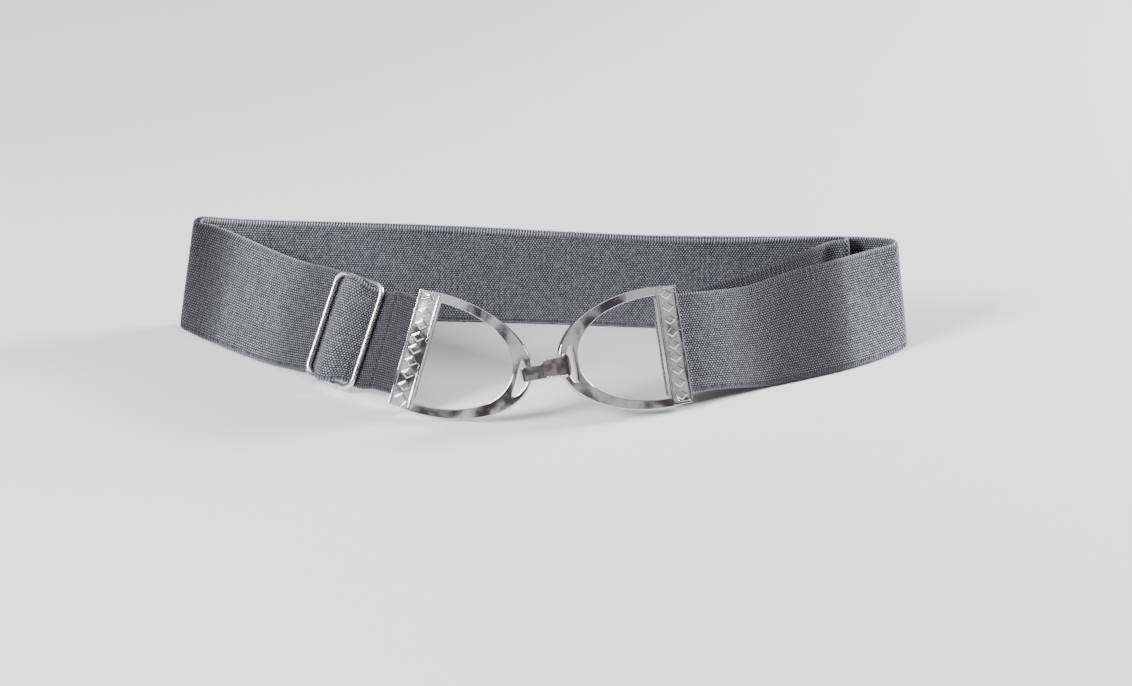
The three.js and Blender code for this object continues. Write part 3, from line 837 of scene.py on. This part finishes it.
# Each half's crown slot as an outline: a point and the offsets of its two handles
SLOT_LEFT = (
    (39.3, 6.5, -0.3, -1.6, 1.6, -1.4),
    (43.1, 0.2, 0, 2.4, 0, -2.6),
    (39.5, -6.0, 1.9, 0.6, -0.6, 0.5),
    (39.3, 0.3, 0.1, -2.6, -0.2, 2.6),
)
SLOT_RIGHT = (
    (39.3, 7.2, -0.7, 0, 0.9, -0.5),
    (41.8, 0.9, 0, 3.0, 0, -3.0),
    (39.4, -5.4, 1.0, 0, -0.8, 0),
    (38.7, 0.9, 0, -3.0, 0, 3.0),
)


def curve_mesh(curve):
    """The closed mesh that a curve's outlines make."""
    make_active(added(curve.name, curve))
    bpy.ops.object.convert(target="MESH")
    piece = bpy.context.object
    merge_and_face_out(piece)
    return piece


def arch_outline(bar_width):
    """The arch's band as an outline on the casting's own axes: a point and its two handles' offsets."""
    start, reach, tip, half, inner_half, inner_tip = 4.0, 9.0, 44.2, 20.1, 17.0, 37.6
    inner_share = 0.585
    outer = (tip - reach) * ROUND_SHARE
    inner = (inner_tip - reach) * inner_share
    inner_start = bar_width / MM - 2
    return (
        (start, -half + 0.25, 0, 0, 1.5, -0.12),
        (reach, -half, -2, 0, outer, 0),
        (tip, 0, 0, -half * ROUND_SHARE, 0, half * ROUND_SHARE),
        (reach, half, outer, 0, -2, 0),
        (start, half - 0.25, 1.5, 0.12, 0, 0),
        (inner_start, inner_half, 0, 0, 0, 0),
        (reach, inner_half, -1, 0, inner, 0),
        (inner_tip, 0, 0, inner_half * inner_share, 0, -inner_half * inner_share),
        (reach, -inner_half, inner, 0, -1, 0),
        (inner_start, -inner_half, 0, 0, 0, 0),
    )


def casting_arch(sizes, slot):
    """The D's arch: a flat outline given its thickness, made a mesh and rounded along its edges."""
    curve = bpy.data.curves.new("arch", "CURVE")
    curve.dimensions = "2D"
    curve.fill_mode = "BOTH"
    curve.resolution_u = 28
    curve.extrude = CASTING_THICKNESS * MM / 2
    for table in (arch_outline(sizes.bar_width), slot):
        bezier_outline(curve, table)
    arch = curve_mesh(curve)
    arch.data.transform(Matrix.Translation((0, 0, -CASTING_THICKNESS * MM / 2)))
    round_rims(arch, sizes.edge_radius)
    return arch


def round_rims(piece, radius):
    """Rounds the edges all round a flat piece's front and back faces."""
    start_edit(piece)
    bpy.ops.mesh.dissolve_limited(angle_limit=math.radians(0.1))
    select_faces(piece, lambda face: abs(face.normal.z) > 0.9)
    bpy.ops.mesh.region_to_loop()
    bpy.ops.mesh.bevel(offset=radius, segments=3, affect="EDGES", clamp_overlap=False, loop_slide=False)
    stop_edit()


def merge_and_face_out(piece):
    sliver = 0.000002
    start_edit(piece)
    bpy.ops.mesh.remove_doubles(threshold=sliver)
    bpy.ops.mesh.dissolve_degenerate(threshold=sliver)
    bpy.ops.mesh.normals_make_consistent(inside=False)
    stop_edit()


def bevelled_box(low, high, edge):
    """A box between two corners, in metres, with its edges rounded."""
    box = placed(bpy.ops.mesh.primitive_cube_add, size=1, location=(low + high) / 2, scale=high - low)
    add_modifier(box, "BEVEL", width=edge, segments=3, limit_method="NONE")
    return box


def casting_bar(sizes):
    """The D's bar: a box with a sunk panel in its front face and lozenges standing in the panel."""
    margin, depth, proud, draft = 0.0008, 0.00035, 0.00003, 0.25
    rounding, stud_gap, stud_share, stud_root = 0.00022, 0.0004, 0.47, 0.00004
    length, width = sizes.bar_length, sizes.bar_width
    thickness = CASTING_THICKNESS * MM
    bar = placed(bpy.ops.mesh.primitive_cube_add, size=1, location=(width / 2, 0, -thickness / 2),
                 scale=(width, length, thickness + 2 * proud))
    start_edit(bar)
    select_faces(bar, lambda face: face.normal.z > 0.9)
    bpy.ops.mesh.inset(thickness=margin)
    bpy.ops.mesh.extrude_region_move(TRANSFORM_OT_translate={"value": (0, 0, -depth)})
    bpy.ops.transform.resize(value=(1 - draft * depth / width, 1 - draft * depth / length, 1))
    stop_edit()
    bevel(bar, rounding, 30)
    pitch = (length - 2 * margin) / sizes.lozenges
    stud = lozenge(width / 2 - margin - stud_gap, pitch * stud_share, depth)
    lozenges = []
    for i in range(sizes.lozenges):
        along = -length / 2 + margin + pitch * (i + 0.5)
        lozenges.append(copied(stud, Matrix.Translation((width / 2, along, -depth - stud_root))))
    bpy.data.objects.remove(stud)
    unite(bar, joined(lozenges))
    return bar


def lozenge(half_width, half_length, height):
    """A four-sided stud with a raised, flattened top."""
    shoulder, shoulder_height, cap_height, cap, rounding = 0.78, 0.7 * height, 0.35 * height, 0.8, 0.00006
    stud = placed(bpy.ops.mesh.primitive_cone_add, vertices=4, radius1=1, radius2=shoulder,
                  depth=shoulder_height, location=(0, 0, shoulder_height / 2),
                  scale=(half_width, half_length, 1))
    start_edit(stud)
    select_faces(stud, lambda face: face.normal.z > 0.9)
    bpy.ops.mesh.extrude_region_move(TRANSFORM_OT_translate={"value": (0, 0, cap_height)})
    bpy.ops.transform.resize(value=(cap, cap, 1))
    stop_edit()
    bevel(stud, rounding, 12, segments=2)
    return stud


def casting_fixings(sizes):
    """The two lugs behind the bar and the strap pin between them."""
    lug_thickness, lug_half, lug_edge, lug_back, lug_root, rounding = 2.2, 2.2, 0.3, 0.2, 0.6, 0.3
    outer = sizes.bar_length / MM / 2 - lug_edge
    inner = outer - lug_thickness
    behind = -PIN_DROP - PIN_RADIUS - lug_back
    seat = lug_root - CASTING_THICKNESS
    fixings = []
    for low, high in ((inner, outer), (-outer, -inner)):
        fixings.append(bevelled_box(Vector((PIN_INSET - lug_half, low, behind)) * MM,
                                    Vector((PIN_INSET + lug_half, high, seat)) * MM, rounding * MM))
    fixings.append(placed(
        bpy.ops.mesh.primitive_cylinder_add, vertices=32, radius=PIN_RADIUS * MM,
        depth=(inner + outer) * MM, location=(PIN_INSET * MM, 0, -PIN_DROP * MM),
        rotation=(math.pi / 2, 0, 0)))
    return fixings


def build_casting(sizes, bar, slot):
    """One clasp half on its own axes, as one closed solid."""
    casting = copied(bar, Matrix.Identity(4))
    unite(casting, casting_arch(sizes, slot))
    for fixing in casting_fixings(sizes):
        unite(casting, fixing)
    merge_and_face_out(casting)
    smooth(casting, 32)
    add_modifier(casting, "WEIGHTED_NORMAL", keep_sharp=True)
    return casting


def build_slider():
    """A wire bent to a rounded rectangle, with a straight bar soldered across it."""
    length, height, corner = 23.4, 38.0, 3.8
    half_length = length / 2 - WIRE_RADIUS
    half_height = height / 2 - WIRE_RADIUS
    curve = bpy.data.curves.new("wire", "CURVE")
    curve.dimensions = "3D"
    curve.resolution_u = 10
    curve.bevel_depth = WIRE_RADIUS * MM
    curve.bevel_resolution = 6
    near_l, near_h = half_length - corner, half_height - corner
    keep = corner * ROUND_SHARE
    table = []
    for su, sv in ((1, 1), (-1, 1), (-1, -1), (1, -1)):
        upright = (su * half_length, sv * near_h, 0, -sv, 0, sv * keep)
        level = (su * near_l, sv * half_height, su * keep, 0, -su, 0)
        pair = [upright, level]
        if su * sv < 0:
            pair = [(p[0], p[1], p[4], p[5], p[2], p[3]) for p in reversed(pair)]
        table += pair
    bezier_outline(curve, table)
    wire = curve_mesh(curve)
    unite(wire, placed(bpy.ops.mesh.primitive_cylinder_add, vertices=32, radius=CENTRE_BAR_RADIUS * MM,
                       depth=(height - 2 * WIRE_RADIUS) * MM, rotation=(math.pi / 2, 0, 0)))
    merge_and_face_out(wire)
    smooth(wire, 40)
    return wire


# The link's rows, in millimetres: distance along and out of the crown, and width; in front also the lift
LINK_THICKNESS = 0.7
LINK_RISE = 1.8
LINK_BACK_GAP = 0.5
LINK_BACK = -(CASTING_THICKNESS + LINK_BACK_GAP + LINK_THICKNESS / 2)
LINK_LEFT = (
    (3.2, LINK_BACK, 1.5),
    (0.5, LINK_BACK, 1.5),
    (0, LINK_BACK + 0.5, 1.5),
    (0, 0.35, 1.5),
    (0, 1.1, 3.2),
)
LINK_FRONT = (
    (0, 0.05, -0.15, 4.4, -0.3),
    (0, 0.7, 0, 4.6, -0.4),
    (0.42, 0, 0, 4.6, -0.45),
    (0.445, 0, 0, 4.9, -0.3),
    (0.47, 0, 0, 5.8, 0.12),
    (0.5, 0, 0, 6.3, 0.35),
    (1, -0.7, 0, 7.4, 0.2),
    (1, -0.05, -0.15, 7.2, 0.2),
)
LINK_WIDE_ROW = len(LINK_LEFT) + 5
LINK_RIGHT = (
    (0, 1.1, 4.6),
    (0, 0.35, 3),
    (0, LINK_BACK + 0.5, 3),
    (-0.5, LINK_BACK, 3),
    (-2.6, LINK_BACK, 3),
)


def link_rows():
    """The link's route as points with widths, and the direction across its width."""
    left_along, left_up = 41.0, 1.9
    right_along, right_up = 41.1, 1.1
    left = LEFT_HALF.at(left_along, left_up, 0)
    right = RIGHT_HALF.at(right_along, right_up, 0)
    across = (right - left).normalized()
    out = LEFT_HALF.out + RIGHT_HALF.out
    out = (out - across * out.dot(across)).normalized()
    up = out.cross(across)

    def leg(end, facing, table):
        through = (facing - up * facing.dot(up)).normalized()
        return [(end + across * along + through * depth, width) for along, depth, width in table]

    front = [(left.lerp(right, share) + across * along + out * (LINK_RISE + depth) + up * lift, width)
             for share, along, depth, width, lift in LINK_FRONT]
    return leg(left, LEFT_HALF.out, LINK_LEFT) + front + leg(right, RIGHT_HALF.out, LINK_RIGHT), up, out


def link_ring(rows, up, i):
    """The strip's four corners at one of its rows, in the belt's frame in metres."""
    before, after = neighbours(rows, i)
    point, width = rows[i]
    side = (after[0] - before[0]).normalized().cross(up) * LINK_THICKNESS / 2
    reach = up * width / 2
    corners = (point - reach + side, point - reach - side, point + reach - side, point + reach + side)
    return [(corner + ROUTE_SHIFT) * MM for corner in corners]


def build_link(sizes):
    """A strip extruded row by row through both crowns, with beads along its wide part's edges."""
    rows, up, out = link_rows()
    link = placed(bpy.ops.mesh.primitive_plane_add, size=1)
    start_edit(link)
    for i in range(len(rows)):
        if i:
            bpy.ops.mesh.extrude_region_move()
        mesh = bmesh.from_edit_mesh(link.data)
        end = next(face for face in mesh.faces if face.select)
        for vert, place in zip(end.verts, link_ring(rows, up, i)):
            vert.co = place
        bmesh.update_edit_mesh(link.data)
    stop_edit()
    merge_and_face_out(link)
    close_start(link)
    rounding = 0.00014
    bevel(link, rounding, 35)
    unite(link, link_beads(sizes, rows[LINK_WIDE_ROW], rows[LINK_WIDE_ROW + 1], up, out))
    smooth(link, 35)
    add_modifier(link, "WEIGHTED_NORMAL", keep_sharp=True)
    return link


def link_beads(sizes, start_row, end_row, up, out):
    """A bead modelled once and copied along the wide part's two edges."""
    radius = sizes.bead_radius
    inset, proud, pitch = 0.2, 0.32, 2.3 * radius
    bead = placed(bpy.ops.mesh.primitive_uv_sphere_add, segments=12, ring_count=8, radius=radius)
    count = int((end_row[0] - start_row[0]).length * MM / pitch)
    beads = []
    for side in (-1, 1):
        start, end = (point + up * side * (width / 2 - inset) + out * proud
                      for point, width in (start_row, end_row))
        for i in range(count):
            point = start.lerp(end, (i + 0.5) / count)
            beads.append(copied(bead, Matrix.Translation((point + ROUTE_SHIFT) * MM)))
    bpy.data.objects.remove(bead)
    return joined(beads)


def close_start(piece):
    """Closes the strip's open first end."""
    start_edit(piece, "EDGE")
    bpy.ops.mesh.select_all(action="DESELECT")
    bpy.ops.mesh.select_non_manifold()
    bpy.ops.mesh.edge_face_add()
    bpy.ops.mesh.select_all(action="SELECT")
    bpy.ops.mesh.normals_make_consistent(inside=False)
    stop_edit()


def build_seam(sizes, front_section, end_section):
    """Stitches across the webbing on the face in front and on the face behind."""
    pulled_in, proud, clear_ends, slant = 0.6, 0.12, 2.4, 0.12
    surface = pulled_in * WEB_THICKNESS / 2 + proud
    stitch = placed(bpy.ops.mesh.primitive_uv_sphere_add, segments=10, ring_count=8, radius=1)
    stitch.data.transform(Matrix.Diagonal((sizes.thread_radius, sizes.thread_radius,
                                           sizes.stitch_length / 2, 1)))
    pitch = (sizes.stitch_length + sizes.stitch_gap) / MM
    pieces = []
    for section, side in ((front_section, 1), (end_section, side_behind(front_section, end_section))):
        low, high = SECTIONS[section]
        out = face_out(SECTIONS, section)
        up = (high - low).normalized()
        width = (high - low).length
        count = int((width - clear_ends) / pitch)
        along = out.cross(up)
        for i in range(count):
            point = low + up * (width / 2 + (i - (count - 1) / 2) * pitch) + out * side * surface
            turn = Matrix((along, out, up)).transposed().to_4x4()
            place = Matrix.Translation((point + ROUTE_SHIFT) * MM) @ turn @ Matrix.Rotation(slant, 4, "Y")
            pieces.append(copied(stitch, place))
    bpy.data.objects.remove(stitch)
    seam = joined(pieces)
    bpy.ops.object.shade_smooth()
    return seam


def side_behind(front_section, end_section):
    """Which face of the end layer points away from the front layer."""
    gap = SECTIONS[end_section][0] - SECTIONS[front_section][0]
    return 1 if gap.dot(face_out(SECTIONS, end_section)) > 0 else -1


def aim(obj, target):
    obj.rotation_euler = (target - obj.location).to_track_quat("-Z", "Y").to_euler()


def add_camera():
    """A long lens at the picture's angle, aimed at the route's own zero."""
    elevation, distance, lens = math.radians(22), 1.2, 110.5
    target = ROUTE_SHIFT * MM
    camera = added("camera", bpy.data.cameras.new("camera"))
    camera.location = target + Vector((0, -math.cos(elevation), math.sin(elevation))) * distance
    camera.data.lens = lens
    camera.data.sensor_width = 36
    camera.data.clip_start = 0.01
    aim(camera, target)
    bpy.context.scene.camera = camera


def add_area_light(name, azimuth, elevation, distance, size, watts):
    """A square soft light; azimuth 0 stands at the camera's side and 90 to the right."""
    target = ROUTE_SHIFT * MM
    turn, rise = math.radians(azimuth), math.radians(elevation)
    light = added(name, bpy.data.lights.new(name, "AREA"))
    ray = Vector((math.sin(turn) * math.cos(rise), -math.cos(turn) * math.cos(rise), math.sin(rise)))
    light.location = target + ray * distance
    light.data.size = size
    light.data.energy = watts
    aim(light, target)


def add_world():
    world = bpy.data.worlds.new("Pale Room")
    world.use_nodes = True
    g = Graph(world.node_tree)
    direction = g.node("ShaderNodeTexCoord").outputs["Generated"]
    height = g.node("ShaderNodeSeparateXYZ", {0: direction}).outputs["Z"]
    sky = g.tint(g.ramp(height, 0.45, 0.85), (0.19, 0.16, 0.175, 1), (0.8, 0.84, 0.78, 1))
    g.fill(world.node_tree.nodes["Background"].inputs, {"Color": sky, "Strength": 0.42})
    bpy.context.scene.world = world


class BELT_OT_stage(Operator):
    """Add the camera, the lights and the pale floor"""

    bl_idname = "belt.stage"
    bl_label = "Stage"

    def execute(self, context):
        add_camera()
        add_world()
        for name, light in LIGHTS.items():
            add_area_light(name, *light)
        floor = placed(bpy.ops.mesh.primitive_plane_add, size=8, location=(0, 0, -0.0003))
        floor.name = "floor"
        floor.data.materials.append(floor_material())
        return {"FINISHED"}


class BELT_OT_webbing(Operator):
    """Make the webbing with its weave and its selvedges"""

    bl_idname = "belt.webbing"
    bl_label = "Webbing"

    def execute(self, context):
        sizes = context.scene.belt_webbing
        piece = build_webbing(sizes)
        finish_piece(piece, "webbing_strap", webbing_material(sizes), ["webbing"])
        return {"FINISHED"}


class BELT_OT_clasp(Operator):
    """Make both halves of the clasp, each with its own crown slot"""

    bl_idname = "belt.clasp"
    bl_label = "Clasp Halves"

    def execute(self, context):
        sizes = context.scene.belt_hardware
        bar = casting_bar(sizes)
        metal = metal_material("Polished Casting", (0.68, 0.68, 0.69), 0.07, 0.2, 55.0, 0.0011)
        for name, half, slot, node in (("clasp_left", LEFT_HALF, SLOT_LEFT, "stirrup_left"),
                                       ("clasp_right", RIGHT_HALF, SLOT_RIGHT, "stirrup_right")):
            casting = build_casting(sizes, bar, slot)
            casting.data.transform(half.matrix())
            finish_piece(casting, name, metal, [node])
        bpy.data.objects.remove(bar)
        return {"FINISHED"}


class BELT_OT_slider(Operator):
    """Make the wire slider"""

    bl_idname = "belt.slider"
    bl_label = "Slider"

    def execute(self, context):
        piece = build_slider()
        piece.data.transform(SLIDER_FRAME.matrix())
        metal = metal_material("Polished Wire", (0.8, 0.8, 0.81), 0.24, 0.38, 140.0, 0.0001)
        finish_piece(piece, "slider_wire", metal, ["slider"])
        return {"FINISHED"}


class BELT_OT_link(Operator):
    """Make the link plate that holds the clasp halves together"""

    bl_idname = "belt.link"
    bl_label = "Link Plate"

    def execute(self, context):
        piece = build_link(context.scene.belt_hardware)
        metal = metal_material("Polished Link", (0.68, 0.66, 0.66), 0.1, 0.24, 160.0, 0.0004)
        finish_piece(piece, "link", metal, ["link_plate"])
        return {"FINISHED"}


class BELT_OT_seams(Operator):
    """Sew the webbing's two ends"""

    bl_idname = "belt.seams"
    bl_label = "Seams"

    def execute(self, context):
        thread = thread_material()
        for name, (front, end) in SEAMS.items():
            finish_piece(build_seam(context.scene.belt_stitching, front, end), name, thread)
        return {"FINISHED"}


class BELT_PT_sidebar(Panel):
    """The belt's operators in the order that they are used."""

    bl_label = "Belt"
    bl_idname = "BELT_PT_sidebar"
    bl_space_type = "VIEW_3D"
    bl_region_type = "UI"
    bl_category = "Belt"

    def draw(self, context):
        for operator in OPERATORS:
            self.layout.operator(operator.bl_idname)


OPERATORS = (BELT_OT_stage, BELT_OT_clasp, BELT_OT_slider, BELT_OT_link, BELT_OT_webbing, BELT_OT_seams)
GROUPS = (("belt_webbing", BELT_PG_webbing), ("belt_hardware", BELT_PG_hardware),
          ("belt_stitching", BELT_PG_stitching))


def register():
    for name, group in GROUPS:
        bpy.utils.register_class(group)
        setattr(bpy.types.Scene, name, PointerProperty(type=group))
    for operator in OPERATORS:
        bpy.utils.register_class(operator)
    bpy.utils.register_class(BELT_PT_sidebar)


def unregister():
    bpy.utils.unregister_class(BELT_PT_sidebar)
    for operator in reversed(OPERATORS):
        bpy.utils.unregister_class(operator)
    for name, group in reversed(GROUPS):
        delattr(bpy.types.Scene, name)
        bpy.utils.unregister_class(group)


def main():
    register()
    bpy.ops.belt.stage()
    bpy.ops.belt.clasp()
    bpy.ops.belt.slider()
    bpy.ops.belt.link()
    bpy.ops.belt.webbing()
    bpy.ops.belt.seams()


if __name__ == "__main__":
    main()
